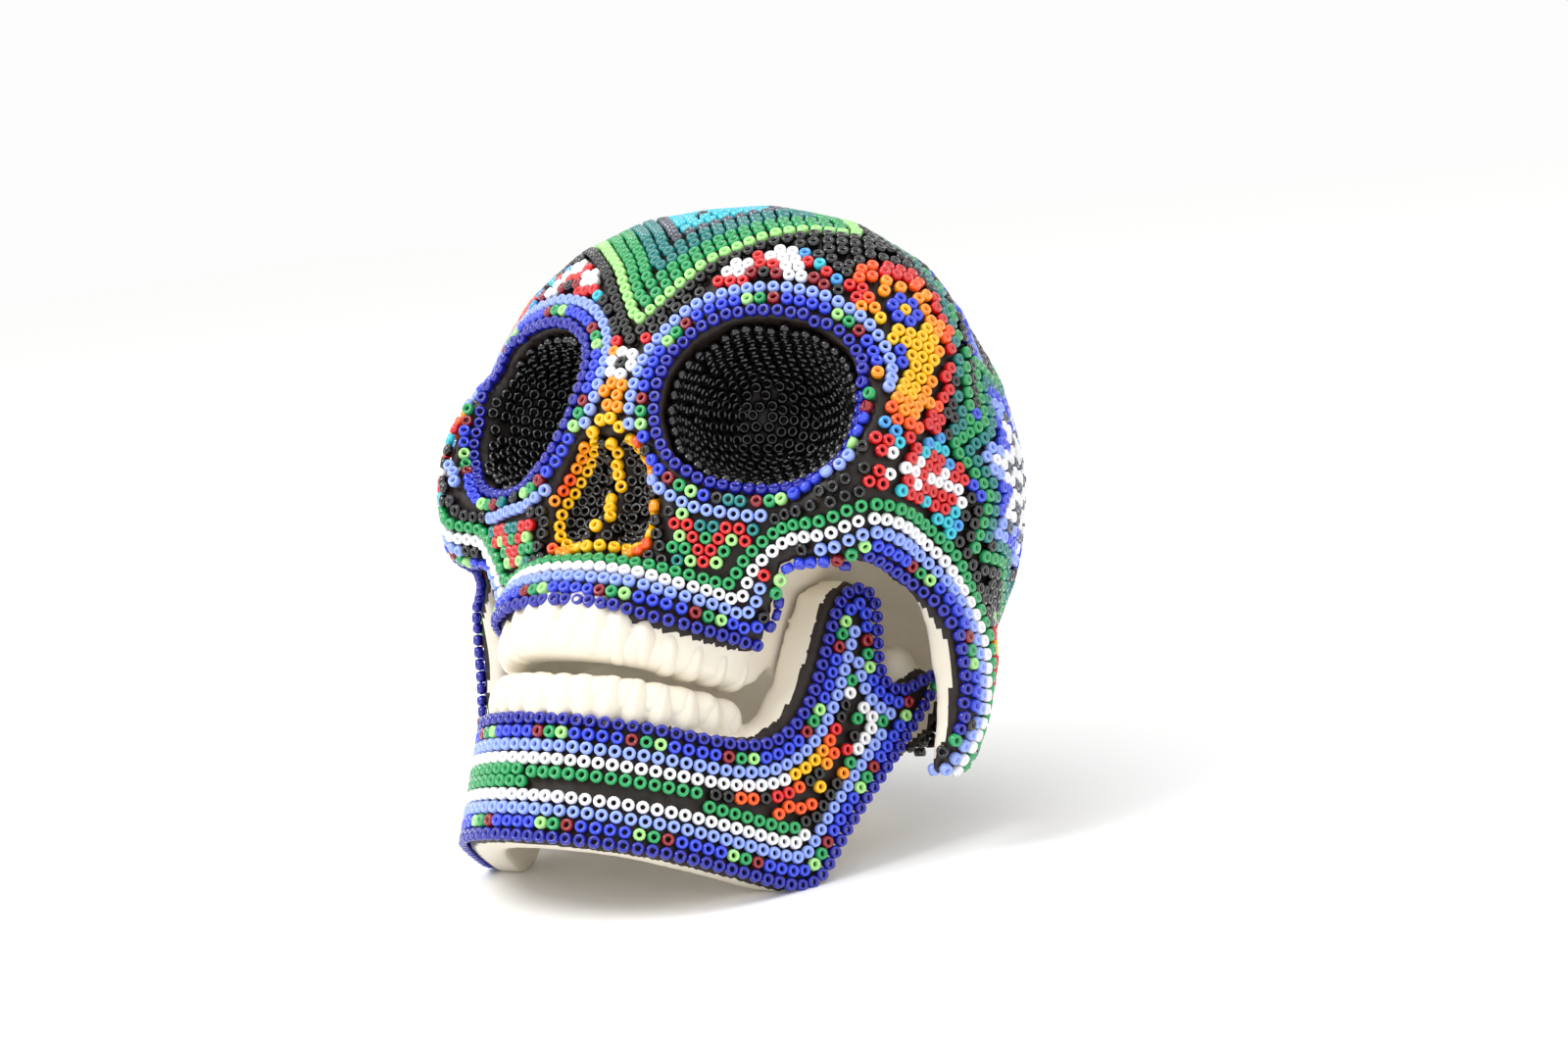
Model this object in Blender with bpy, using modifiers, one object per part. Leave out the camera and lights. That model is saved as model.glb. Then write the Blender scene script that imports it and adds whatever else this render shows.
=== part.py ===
"""A beaded skull with a separate lower jaw, built the way it is made: two resin castings,
a wax coat on each, and fields of glass seed beads pressed into the wax.

Everything is modelled in the skull's own frame in millimetres: the middle of the line between
the eye sockets is the origin, +X is the skull's left, -Y its front and +Z its top. One empty then
tips the whole skull back until it stands on the jaw's corners and the back of its base.
"""
from math import atan2, cos, degrees, pi, radians, sin

import bmesh
import bpy
from mathutils import Matrix, Vector

# ---------------------------------------------------------------- driving dimensions (mm)
MM = 0.001
PITCH = 25.0                # degrees that the skull leans back at rest
REST_HEIGHT = 73.3          # height of the eye sockets' centre above the floor
REST_Y = -12.05             # the same centre, measured from the middle of the footprint

GAP = 0.3                   # clearance between any two solids that touch
WAX = 0.6                   # thickness of the wax coat
BEAD = 1.5                  # length of a bead, which is the height it stands
ROW = 2.05                  # spacing of the bead rows
WAX_IN = GAP
WAX_OUT = GAP + WAX
BEAD_IN = WAX_OUT + GAP
BEAD_OUT = BEAD_IN + BEAD   # from the resin to the tops of the beads

JAW_AXIS = (0.0, 37.0, -34.0)
JAW_OPEN = 22.0             # degrees from the molars touching to fully open

COLLECTION = "beaded_skull"


# ---------------------------------------------------------------- scene and small helpers
def clear_scene():
    for obj in list(bpy.data.objects):
        bpy.data.objects.remove(obj, do_unlink=True)


def new_collection(name):
    collection = bpy.data.collections.new(name)
    bpy.context.scene.collection.children.link(collection)
    return collection


clear_scene()
PARTS = new_collection(COLLECTION)
CUTTERS = new_collection("cutters")


def mesh_object(name, bm, collection=None):
    """Makes a closed bmesh, given in millimetres, an object with its faces pointing out."""
    bmesh.ops.triangulate(bm, faces=bm.faces)
    bmesh.ops.recalc_face_normals(bm, faces=bm.faces)
    bmesh.ops.scale(bm, vec=(MM, MM, MM), verts=bm.verts)
    mesh = bpy.data.meshes.new(name)
    bm.to_mesh(mesh)
    bm.free()
    obj = bpy.data.objects.new(name, mesh)
    (collection or CUTTERS).objects.link(obj)
    if collection is None:
        obj.hide_render = True
        obj.display_type = "WIRE"
    return obj


def baked(obj):
    """Applies the modifiers of an object to its mesh."""
    graph = bpy.context.evaluated_depsgraph_get()
    mesh = bpy.data.meshes.new_from_object(obj.evaluated_get(graph))
    obj.modifiers.clear()
    obj.data = mesh
    return obj


def closed(obj):
    """Removes the slivers that a cut leaves, and closes the pinholes they leave behind."""
    bm = bmesh.new()
    bm.from_mesh(obj.data)
    bmesh.ops.remove_doubles(bm, verts=bm.verts, dist=0.002 * MM)
    bmesh.ops.dissolve_degenerate(bm, dist=0.002 * MM, edges=bm.edges)
    flaps = [face for face in bm.faces if sum(edge.is_boundary for edge in face.edges) > 1]
    bmesh.ops.delete(bm, geom=flaps, context="FACES_ONLY")
    rim = [edge for edge in bm.edges if edge.is_boundary]
    bmesh.ops.holes_fill(bm, edges=rim, sides=0)
    bmesh.ops.triangulate(bm, faces=bm.faces)
    bm.to_mesh(obj.data)
    bm.free()
    return obj


def boolean(obj, cutter, operation="DIFFERENCE"):
    modifier = obj.modifiers.new(operation.lower(), "BOOLEAN")
    modifier.operation = operation
    modifier.solver = "EXACT"
    modifier.object = cutter
    return closed(baked(obj))


def copy_of(obj, name):
    twin = bpy.data.objects.new(name, obj.data.copy())
    CUTTERS.objects.link(twin)
    twin.hide_render = True
    twin.display_type = "WIRE"
    return twin


def remove(*objects):
    for obj in objects:
        bpy.data.objects.remove(obj, do_unlink=True)


# ---------------------------------------------------------------- shapes
def superball(name, centre, radii, power=2.0, pitch=0.0, yaw=0.0, roll=0.0, rings=12):
    """An ellipsoid, squarer the more its power is over 2, turned about Y, X and then Z."""
    bm = bmesh.new()
    bmesh.ops.create_uvsphere(bm, u_segments=2 * rings, v_segments=rings, radius=1.0)
    turn = Matrix.Rotation(radians(yaw), 3, "Z") @ Matrix.Rotation(radians(pitch), 3, "X")
    turn = turn @ Matrix.Rotation(radians(roll), 3, "Y")
    for vert in bm.verts:
        unit = vert.co
        size = sum(abs(c) ** power for c in unit) ** (1.0 / power)
        vert.co = turn @ Vector(c / size * r for c, r in zip(unit, radii)) + Vector(centre)
    return mesh_object(name, bm)


def facing(origin, normal, up=(0.0, 0.0, 1.0)):
    """A frame whose Z is the normal and whose Y is as near to up as it can be."""
    w = Vector(normal).normalized()
    u = Vector(up).cross(w).normalized()
    v = w.cross(u)
    frame = Matrix((u, v, w)).transposed().to_4x4()
    frame.translation = Vector(origin)
    return frame


SIDE_VIEW = Matrix(((0, 0, 1, 0), (1, 0, 0, 0), (0, 1, 0, 0), (0, 0, 0, 1)))
PLAN_VIEW = Matrix.Identity(4)


def prism(name, outline, low, high, frame=SIDE_VIEW):
    """An outline drawn in a frame's XY plane and extruded along its Z from low to high."""
    bm = bmesh.new()
    face = bm.faces.new([bm.verts.new((u, v, low)) for u, v in outline])
    side = bmesh.ops.extrude_face_region(bm, geom=[face])
    top = [item for item in side["geom"] if isinstance(item, bmesh.types.BMVert)]
    bmesh.ops.translate(bm, vec=(0, 0, high - low), verts=top)
    bmesh.ops.transform(bm, matrix=frame, verts=bm.verts)
    return mesh_object(name, bm)


def smooth_line(points, steps=4, closed=False):
    """A Catmull-Rom curve through the points."""
    count = len(points)
    line = []
    for i in range(count if closed else count - 1):
        ends = []
        for j in (i - 1, i, i + 1, i + 2):
            ends.append(Vector(points[j % count] if closed else points[min(max(j, 0), count - 1)]))
        a, b, c, d = ends
        for k in range(steps):
            t = k / steps
            line.append(0.5 * (2 * b + (c - a) * t + (2 * a - 5 * b + 4 * c - d) * t * t
                               + (3 * b - a - 3 * c + d) * t ** 3))
    if not closed:
        line.append(Vector(points[-1]))
    return [tuple(p) for p in line]


def grown(outline, distance, closed=True):
    """The outline moved sideways by a distance, outwards where it runs anticlockwise."""
    count = len(outline)
    moved = []
    for i in range(count):
        here = Vector(outline[i])
        back = Vector(outline[i - 1] if closed or i else outline[0])
        on = Vector(outline[(i + 1) % count] if closed or i < count - 1 else outline[-1])
        a = (here - back).normalized() if (here - back).length else (on - here).normalized()
        b = (on - here).normalized() if (on - here).length else a
        na, nb = Vector((a.y, -a.x)), Vector((b.y, -b.x))
        middle = (na + nb).normalized()
        reach = distance / max(middle.dot(na), 0.5)
        moved.append(tuple(here + middle * reach))
    return moved


def joined(name, pieces):
    """One scratch object that holds several overlapping closed pieces."""
    bm = bmesh.new()
    for piece in pieces:
        bm.from_mesh(piece.data)
    mesh = bpy.data.meshes.new(name)
    bm.to_mesh(mesh)
    bm.free()
    obj = bpy.data.objects.new(name, mesh)
    CUTTERS.objects.link(obj)
    obj.hide_render = True
    obj.display_type = "WIRE"
    remove(*pieces)
    return obj


def melted(obj, voxel):
    """Makes overlapping bodies one, on a grid of this size."""
    remesh = obj.modifiers.new("union", "REMESH")
    remesh.mode = "VOXEL"
    remesh.voxel_size = voxel * MM
    return baked(obj)


def softened(obj, triangles, times):
    """Rounds a body's corners and thins it to about this many triangles."""
    soften = obj.modifiers.new("soften", "SMOOTH")
    soften.factor = 0.5
    soften.iterations = times
    baked(obj)
    obj.data.calc_loop_triangles()
    fewer = obj.modifiers.new("fewer", "DECIMATE")
    fewer.ratio = min(1.0, triangles / len(obj.data.loop_triangles))
    return baked(obj)


def layer(source, name, distance):
    """A copy of a closed form with its surface moved out by a distance."""
    obj = copy_of(source, name)
    move = obj.modifiers.new("offset", "DISPLACE")
    move.mid_level = 0.0
    move.strength = distance * MM
    return baked(obj)


# ---------------------------------------------------------------- outlines, seen from the side
def rest_plane(height):
    """The line, in the side view, of a level plane at this height above the floor."""
    def z_at(y):
        return (height - REST_HEIGHT + y * sin(radians(PITCH))) / cos(radians(PITCH))
    return z_at


FLOOR = rest_plane(0.0)
HEM = rest_plane(13.0)      # the beads stop here, and bare resin goes on to the floor

# The lower edge of the upper beadwork: along the gums, up behind the last tooth, over the
# cheekbone and down the back of the jaw's recess to the tip of the side wall.
UPPER_EDGE = smooth_line([
    (-13.0, -34.4), (-9.0, -36.0), (-4.0, -37.3), (3.0, -37.6), (9.0, -37.0), (9.2, -33.0),
    (6.0, -27.5), (4.5, -24.8), (7.5, -23.0), (13.0, -23.0), (19.4, -25.6), (24.2, -30.6),
    (27.6, -37.0), (29.2, -44.0), (29.4, -49.5), (31.6, -52.8),
], 2)

# The jaw, clockwise from the front of its upper edge.
JAW_TOP = -51.6
JAW_BOTTOM = -71.6
JAW_OUTLINE = smooth_line([
    (-14.5, JAW_TOP), (-6.0, JAW_TOP), (3.0, JAW_TOP), (9.0, -50.6), (13.0, -47.0), (15.2, -41.0),
    (16.4, -32.0), (17.6, -26.0), (21.0, -23.0), (25.2, -24.6), (26.8, -31.0), (28.6, -36.6),
    (32.5, -36.8), (37.0, -33.4), (39.6, -33.4), (39.4, -36.8), (34.0, -47.0), (28.6, -56.8),
    (25.0, -64.0), (22.6, -69.8), (18.0, -72.9), (8.0, -72.2), (-2.0, JAW_BOTTOM),
    (-14.5, JAW_BOTTOM),
], 1)

# The jaw from above: how far out its beadwork stands along its length.
JAW_PLAN = smooth_line([
    (0.0, -12.2), (5.5, -11.8), (11.0, -10.0), (16.6, -6.4), (21.4, -1.2), (26.0, 6.4),
    (30.0, 15.0), (33.4, 24.0), (36.2, 33.0), (38.2, 42.0),
], 2)
JAW_WALL = 5.0

# The outer face of the teeth, from above, and how tall they stand.
ARCADE = smooth_line([
    (0.0, -12.3), (5.0, -11.8), (10.0, -10.0), (14.6, -6.9), (18.4, -2.6), (21.0, 3.0),
    (22.2, 10.5),
], 6)
TEETH_PER_SIDE = 8
BITE = -44.4                # the level where the molars meet


# ---------------------------------------------------------------- the skull's outer form
def cranium_form():
    """The resin's outer surface before anything is cut from it."""
    s = BEAD_OUT
    pieces = [
        superball("vault", (0, 31, -9.5), (50 - s, 40 - s, 50.6 - s), 1.9, rings=20),
        superball("brow", (0, 23, 3.5), (46.5 - s, 28 - s, 36.8 - s), 2.2),
        superball("face", (0, 21.5, -8), (43 - s, 28 - s, 23 - s), 2.6),
        superball("maxilla", (0, 12.5, -39), (25 - s, 25.5 - s, 19 - s), 2.5),
        superball("nose", (0, 6, -15), (11.5 - s, 15.0 - s, 15 - s), 2.2),
        superball("skirt", (0, 30, -36), (50.5 - s, 21 - s, 29 - s), 2.8, rings=16),
    ]
    for side in (-1, 1):
        cheek = superball("cheek", (side * 32.5, 14, -8), (14.5 - s, 15.5 - s, 20 - s), 2.4)
        pieces.append(cheek)
    form = melted(joined("cranium_form", pieces), 1.6)
    for side in (-1, 1):
        hollow = superball("cheek_hollow", (side * 43, -4, -47), (19.5 + s, 29 + s, 21 + s), 2.8)
        boolean(form, hollow)
        temple = superball("temple_hollow", (side * 60, 21, 2), (14 + s, 13 + s, 17 + s))
        boolean(form, temple)
    return softened(melted(form, 1.6), 880, 6)


ORBIT = (23.3, 0.4, 0.0)
ORBIT_RADII = (14.0, 12.2)
ORBIT_FLARE = 2.6
ORBIT_DEPTH = 19.0
ORBIT_YAW = 25.0
NOSE_FRONT = -8.6


def orbit_cutters(side, depth):
    """The socket and the flare of its rim, smaller by the thickness of what lines them."""
    x, y, z = ORBIT
    a, b = ORBIT_RADII
    reach = BEAD_OUT - depth
    lip = ORBIT_FLARE + reach
    outward = Vector((side * sin(radians(ORBIT_YAW)), -cos(radians(ORBIT_YAW)), 0))
    mouth = Vector((side * x, y, z)) + outward * 3.4
    yaw = side * ORBIT_YAW
    socket = (a + reach, ORBIT_DEPTH + reach, b + reach)
    flare = (a + lip, 4.6 + reach, b + lip)
    return (
        superball("socket", (side * x, y, z), socket, 2.3, yaw=yaw, rings=7),
        superball("rim_flare", mouth, flare, 2.3, yaw=yaw, rings=6),
    )


def nose_cutter(side, depth):
    """One of the two nasal pits, which leave a thin septum between them."""
    reach = BEAD_OUT - depth
    radii = (4.2 + reach, 7.0 + reach, 9.2 + reach)
    return superball("nasal_pit", (side * 4.7, NOSE_FRONT + 1.0, -16.2), radii, 2.3,
                     roll=side * -14, rings=6)


def below_edge(name, low, high):
    """Everything in front of and below the upper beadwork's edge, between two widths."""
    outline = [(-40.0, UPPER_EDGE[0][1])] + UPPER_EDGE + [(30.0, -95.0), (-40.0, -95.0)]
    return prism(name, outline, low, high)


def below_level(name, height, low=-70.0, high=70.0):
    z_at = rest_plane(height)
    return prism(name, [(-60, z_at(-60)), (110, z_at(110)), (110, -140), (-60, -140)], low, high)


def jaw_recess(side):
    """The pocket inside the side wall where the jaw's branch stands."""
    return superball("recess", (side * 32.3, 25.4, -54), (11.4, 20.6, 36.0), 5.0, rings=7)


def gum_height(y):
    """The height of the upper beadwork's edge above the teeth this far back."""
    for (y0, z0), (y1, z1) in zip(UPPER_EDGE, UPPER_EDGE[1:]):
        if y <= y1:
            return z0 + (z1 - z0) * (y - y0) / (y1 - y0)
    return z1


def tooth_row(name, upper):
    """Sixteen rounded crowns on a curved ridge."""
    lengths = [0.0]
    for a, b in zip(ARCADE, ARCADE[1:]):
        lengths.append(lengths[-1] + (Vector(b) - Vector(a)).length)
    total = lengths[-1]
    pieces = []
    at = 0.0
    for i in range(TEETH_PER_SIDE):
        width = total / TEETH_PER_SIDE * (0.86 + 0.04 * i)
        place = at + width / 2
        at += width
        k = max(j for j in range(len(lengths)) if lengths[j] <= min(place, total - 0.01))
        t = (place - lengths[k]) / (lengths[k + 1] - lengths[k])
        here = Vector(ARCADE[k]).lerp(Vector(ARCADE[k + 1]), t)
        along = (Vector(ARCADE[k + 1]) - Vector(ARCADE[k])).normalized()
        yaw = atan2(along.y, along.x)
        thick = 2.6 + 0.25 * i
        inward = Vector((-sin(yaw), cos(yaw)))
        centre = here + inward * thick
        gap_at_front = 0.9 * max(0.0, 1 - i / 4)
        if upper:
            tip = BITE + 0.3 + gap_at_front + 0.5
            root = gum_height(here.y) - 0.9
        else:
            tip = BITE - 0.3 - gap_at_front * 0.4
            root = JAW_TOP + 0.4
        middle, half = (tip + root) / 2, abs(tip - root) / 2
        for side in (-1, 1):
            crown = superball("crown", (side * centre.x, centre.y, middle), (width * 0.56, thick, half),
                              2.8, yaw=side * degrees(yaw), rings=8)
            pieces.append(crown)
    ridge_z = (-43.0, -38.6) if upper else (-60.0, JAW_TOP + 2.5)
    outer = grown(ARCADE, -1.4 if upper else -3.3, closed=False)
    inner = grown(ARCADE, -6.6, closed=False)
    left = [(-x, y) for x, y in outer[:0:-1]]
    left_in = [(-x, y) for x, y in inner[1:]]
    pieces.append(prism("ridge", left + outer + inner[::-1] + left_in, *ridge_z, frame=PLAN_VIEW))
    return softened(melted(joined(name, pieces), 0.7), 560, 2)


# ---------------------------------------------------------------- the upper castings and coats
def cut_cranium(form, depth):
    """Cuts the sockets and the nasal pit from the form moved out to this depth."""
    obj = layer(form, "cut", depth) if depth else copy_of(form, "cut")
    for side in (-1, 1):
        for cutter in orbit_cutters(side, depth):
            boolean(obj, cutter)
        boolean(obj, nose_cutter(side, depth))
    return obj


def cranium_casting(form):
    obj = cut_cranium(form, 0.0)
    obj.name = "cranium_casting"
    for side in (-1, 1):
        low, high = sorted((side * 21.9, side * 70))
        boolean(obj, below_edge("side_opening", low, high))
        boolean(obj, jaw_recess(side))
    boolean(obj, below_level("hem", 13.0))
    mouth = prism("mouth", [(-40, -42.6), (6, -42.6), (12, -42.0), (16, -38.0), (34, -56.0),
                            (52, -80), (-40, -80)], -70, 70)
    boolean(obj, mouth)
    palate = superball("palate", (0, 8, -44), (14.5, 14.0, 9.0), 2.4)
    boolean(obj, palate)
    boolean(obj, tooth_row("upper_teeth", True), "UNION")
    base = superball("base", (0, 44, -48), (19, 15.5, 15), 3.0, pitch=PITCH)
    boolean(obj, base, "UNION")
    boolean(obj, below_level("floor", 0.0))
    return obj


def cranium_coat(form, name, inner, outer):
    """A coat between two depths, on the outside and down into the sockets and nose."""
    obj = cut_cranium(form, outer)
    obj.name = name
    core = cut_cranium(form, inner)
    boolean(obj, core)
    boolean(obj, below_edge("edge", -70, 70))
    boolean(obj, below_level("hem", 13.0 + GAP))
    return obj


# ---------------------------------------------------------------- the jaw
def jaw_wall(name, inner, outer):
    """The jaw's wall between two insets from its beadwork's face, before its outline is cut."""
    out_line = grown(JAW_PLAN, -outer, closed=False)
    in_line = grown(JAW_PLAN, -inner, closed=False)
    left = [(-x, y) for x, y in out_line[:0:-1]]
    left_in = [(-x, y) for x, y in in_line[1:]]
    return prism(name, left + out_line + in_line[::-1] + left_in, -100, 0, frame=PLAN_VIEW)


def jaw_profile(name, growth=0.0):
    outline = grown(JAW_OUTLINE, -growth) if growth else JAW_OUTLINE
    return prism(name, outline, -70, 70)


def mandible_casting():
    obj = jaw_wall("mandible_casting", BEAD_OUT + JAW_WALL, BEAD_OUT)
    boolean(obj, jaw_profile("profile", 0.0), "INTERSECT")
    boolean(obj, tooth_row("lower_teeth", False), "UNION")
    for side in (-1, 1):
        knob = superball("condyle", (side * 29.8, 36.5, -33.6), (4.0, 4.2, 3.6), 2.6, rings=6)
        boolean(obj, knob, "UNION")
    boolean(obj, below_level("floor", 0.0))
    return obj


def mandible_coat(name, inner, outer):
    obj = jaw_wall(name, BEAD_OUT - inner, BEAD_OUT - outer)
    boolean(obj, jaw_profile("profile", -0.2), "INTERSECT")
    boolean(obj, below_level("floor", 0.6))
    return obj


# ---------------------------------------------------------------- bead fields
def ellipse(a, b, power=2.0, count=22):
    """An oval, squarer the more its power is over 2, anticlockwise."""
    points = []
    for i in range(count):
        t = 2 * pi * i / count
        c, d = cos(t), sin(t)
        size = (abs(c) ** power + abs(d) ** power) ** (1.0 / power)
        points.append((a * c / size, b * d / size))
    return points


def star(outer, inner, points=8):
    """A star with one point along the first axis, anticlockwise."""
    corners = []
    for i in range(2 * points):
        reach = inner if i % 2 else outer
        corners.append((reach * cos(pi * i / points), reach * sin(pi * i / points)))
    return corners


def mirrored(point, side):
    return (point[0] * side, point[1], point[2])


ORBIT_LIP = 0.9             # how far the black lining comes out of a socket
ORBIT_RING = 6.3            # and how far the three rows of beads on its rim go
FLAME = ((41.0, 11.3, 12.6), (0.86, -0.44, 0.26))
FLAME_RADII = (9.6, 16.2)
STAR = ((47.0, 43.0, -1.5), (1.0, 0.0, 0.0))
STAR_RADII = (22.0, 15.5)
BROW = ((19.6, 1.0, 21.6), (0.2, -0.86, 0.47))
BROW_RADII = (11.5, 6.6)
ZIGZAG = ((46.6, 13.4, -8.4), (1.0, -0.1, 0.0))
ZIGZAG_OUTLINE = [(-6.5, -6.0), (4.0, -8.0), (9.5, -12.5), (8.6, 2.6), (3.0, 4.6), (-5.0, 3.4)]
LOW_FLOWER = ((47.5, 41.0, -31.5), (1.0, 0.0, 0.0))
LOW_FLOWER_RADII = (7.6, 8.4)
CHEEK = ((21.5, -3.0, -22.6), (0.35, -0.92, -0.18))
CHEEK_RADII = (12.5, 11.0)
GLABELLA = ((0.0, -5.6, 5.6), (0.0, -0.97, 0.23))
GLABELLA_RADII = (4.4, 5.8)
CROWN = ((0.0, 34.0, 20.0), (0.0, -0.42, 0.91))
CROWN_OUTLINE = [(0.0, -38.6), (29.5, -12.4), (0.0, 13.8), (-29.5, -12.4)]
NAPE = ((0.0, 60.0, 6.0), (0.0, 1.0, 0.0))
NAPE_RADII = (17.0, 12.0)
NOSE_RING = 4.3
NOSE_OUTLINE = smooth_line([
    (0.0, 11.0), (-3.8, 8.6), (-7.2, 3.6), (-9.6, -2.6), (-9.0, -7.0), (-4.8, -9.3), (0.0, -8.8),
    (4.8, -9.3), (9.0, -7.0), (9.6, -2.6), (7.2, 3.6), (3.8, 8.6),
], 2, closed=True)
NOSE = ((0.0, NOSE_FRONT, -15.4), (0.0, -1.0, 0.0))

# Each field of the sides: its place, its outline there, and how deep and high its cutter stands.
SIDE_FIELDS = (
    ("brow_flower", BROW, ellipse(*BROW_RADII, count=20), -9, 12),
    ("temple_flame", FLAME, ellipse(*FLAME_RADII), -12, 20),
    ("side_star", STAR, star(*STAR_RADII), -25, 20),
    ("zigzag", ZIGZAG, ZIGZAG_OUTLINE, -9, 12),
    ("low_flower", LOW_FLOWER, ellipse(*LOW_FLOWER_RADII, count=16), -9, 12),
    ("cheek_motif", CHEEK, ellipse(*CHEEK_RADII, count=16), -9, 12),
)

# The jaw's black field, seen from the side.
JAW_FIELD = [
    (2.0, -61.9), (10.0, -62.8), (16.5, -63.0), (19.4, -61.8), (23.6, -53.5), (26.4, -46.8),
    (24.0, -44.6), (21.8, -40.5), (19.2, -46.5), (17.0, -51.5), (14.2, -56.5), (9.5, -59.6), (2.0, -60.6),
]

# The upper limit of the rows that follow the upper beadwork's edge.
BORDER_TOP = smooth_line([
    (-40.0, -28.4), (-9.0, -28.4), (-3.5, -29.8), (-1.0, -27.6), (-1.4, -23.0), (0.4, -18.0),
    (4.6, -15.4), (10.9, -15.6), (19.0, -18.6), (24.0, -24.3), (27.8, -31.0), (32.0, -38.0),
    (36.0, -44.0), (41.0, -50.0), (48.0, -60.0),
], 2)


def take(skin, name, cutter_at):
    """Cuts a field out of a bead layer and leaves a gap round it. cutter_at(growth) cuts it."""
    field = copy_of(skin, name)
    boolean(field, cutter_at(0.0), "INTERSECT")
    boolean(skin, cutter_at(GAP))
    return largest_part(field)


def loose_parts(obj):
    """The separate bodies of a mesh, as lists of face indices, largest first."""
    bm = bmesh.new()
    bm.from_mesh(obj.data)
    bm.faces.ensure_lookup_table()
    seen, parts = set(), []
    for face in bm.faces:
        if face.index in seen:
            continue
        stack, part = [face], []
        seen.add(face.index)
        while stack:
            f = stack.pop()
            part.append(f.index)
            for edge in f.edges:
                for other in edge.link_faces:
                    if other.index not in seen:
                        seen.add(other.index)
                        stack.append(other)
        parts.append(part)
    areas = [sum(bm.faces[i].calc_area() for i in part) for part in parts]
    bm.free()
    order = sorted(range(len(parts)), key=lambda i: -areas[i])
    return [parts[i] for i in order]


def only_faces(obj, keep, name):
    """A copy of the object that holds only these faces."""
    twin = copy_of(obj, name)
    bm = bmesh.new()
    bm.from_mesh(twin.data)
    keep = set(keep)
    bmesh.ops.delete(bm, geom=[f for f in bm.faces if f.index not in keep], context="FACES")
    bm.to_mesh(twin.data)
    bm.free()
    return twin


def largest_part(obj):
    parts = loose_parts(obj)
    if len(parts) == 1:
        return obj
    name = obj.name
    twin = only_faces(obj, parts[0], name + "_whole")
    remove(obj)
    twin.name = name
    return twin


def plate_cutter(place, outline, side=1, low=-9.0, high=12.0):
    """A maker of prisms that stand on a place on the surface, along its normal."""
    def at(growth):
        shape = [(side * u, v) for u, v in (grown(outline, growth) if growth else outline)]
        return prism("field", shape, low, high,
                     facing(mirrored(place[0], side), mirrored(place[1], side)))
    return at


def orbit_disc(side, ring):
    a, b = ORBIT_RADII
    normal = (sin(radians(ORBIT_YAW)), -cos(radians(ORBIT_YAW)), 0.0)
    return plate_cutter((ORBIT, normal), ellipse(a + ring, b + ring, 2.3, count=21), side, -29.0, 15.0)


def border_cutter(growth):
    line = grown(BORDER_TOP, -growth, closed=False) if growth else list(BORDER_TOP)
    return prism("border", line + [(48, -95), (-40, -95)], -70, 70)


def cranium_fields(skin):
    """The beadwork of the upper skull, field by field; what is left is the black ground."""
    fields = []
    for side, letter in ((1, "left"), (-1, "right")):
        fields.append(take(skin, "orbit_lining_" + letter, orbit_disc(side, ORBIT_LIP)))
        fields.append(take(skin, "orbit_ring_" + letter, orbit_disc(side, ORBIT_RING)))
    fields.append(take(skin, "nose_lining", plate_cutter(NOSE, NOSE_OUTLINE, low=-16.0)))
    fields.append(take(skin, "nose_ring", plate_cutter(NOSE, grown(NOSE_OUTLINE, NOSE_RING))))
    fields.append(take(skin, "upper_edge_border", border_cutter))
    glabella = plate_cutter(GLABELLA, ellipse(*GLABELLA_RADII, count=14))
    fields.append(take(skin, "glabella_flower", glabella))
    fields.append(take(skin, "crown_diamond", plate_cutter(CROWN, CROWN_OUTLINE, low=-15, high=40)))
    for side, letter in ((1, "left"), (-1, "right")):
        for name, place, outline, low, high in SIDE_FIELDS:
            cutter = plate_cutter(place, outline, side, low, high)
            fields.append(take(skin, f"{name}_{letter}", cutter))
    fields.append(take(skin, "nape_motif", plate_cutter(NAPE, ellipse(*NAPE_RADII), low=-5, high=25)))
    ground, *islands = loose_parts(skin)
    for island in islands[:2]:
        field = only_faces(skin, island, "forehead_ground")
        letter = "left" if field.data.vertices[0].co.x > 0 else "right"
        field.name = "forehead_ground_" + letter
        fields.append(field)
    return fields + [only_faces(skin, ground, "ground_beads")]


def mandible_fields(skin):
    """The jaw's beadwork: a black field on each side between an upper and a lower border."""
    fields = []
    for low, high, letter in ((0, 70, "left"), (-70, 0, "right")):
        def field_at(growth, low=low, high=high):
            outline = grown(JAW_FIELD, growth) if growth else JAW_FIELD
            return prism("field", outline, low, high)
        fields.append(take(skin, "jaw_field_" + letter, field_at))

    def lower_at(growth):
        line = [(-40.0, -61.6 + growth), (24.5, -61.6 + growth), (45.0, -32.5 + growth)]
        return prism("lower", line[::-1] + [(-40.0, -90.0), (60.0, -90.0), (60.0, -32.5 + growth)], -70, 70)
    fields.append(take(skin, "jaw_border_lower", lower_at))
    upper = largest_part(skin)
    upper.name = "jaw_border_upper"
    return fields + [upper]


# ---------------------------------------------------------------- materials and places
def painted(obj, colour, roughness):
    """Gives a piece its own material."""
    material = bpy.data.materials.new(obj.name)
    material.use_nodes = True
    shader = material.node_tree.nodes["Principled BSDF"]
    shader.inputs["Base Color"].default_value = (*colour, 1.0)
    shader.inputs["Roughness"].default_value = roughness
    obj.data.materials.clear()
    obj.data.materials.append(material)


def empty(name, location, parent=None):
    obj = bpy.data.objects.new(name, None)
    PARTS.objects.link(obj)
    obj.location = Vector(location) * MM
    obj.parent = parent
    return obj


def hung(obj, parent, origin=(0, 0, 0)):
    """Makes a finished piece part of the object, on a parent that stands at this origin."""
    CUTTERS.objects.unlink(obj)
    PARTS.objects.link(obj)
    obj.hide_render = False
    obj.display_type = "TEXTURED"
    obj.parent = parent
    obj.location = Vector(origin) * -MM


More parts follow.
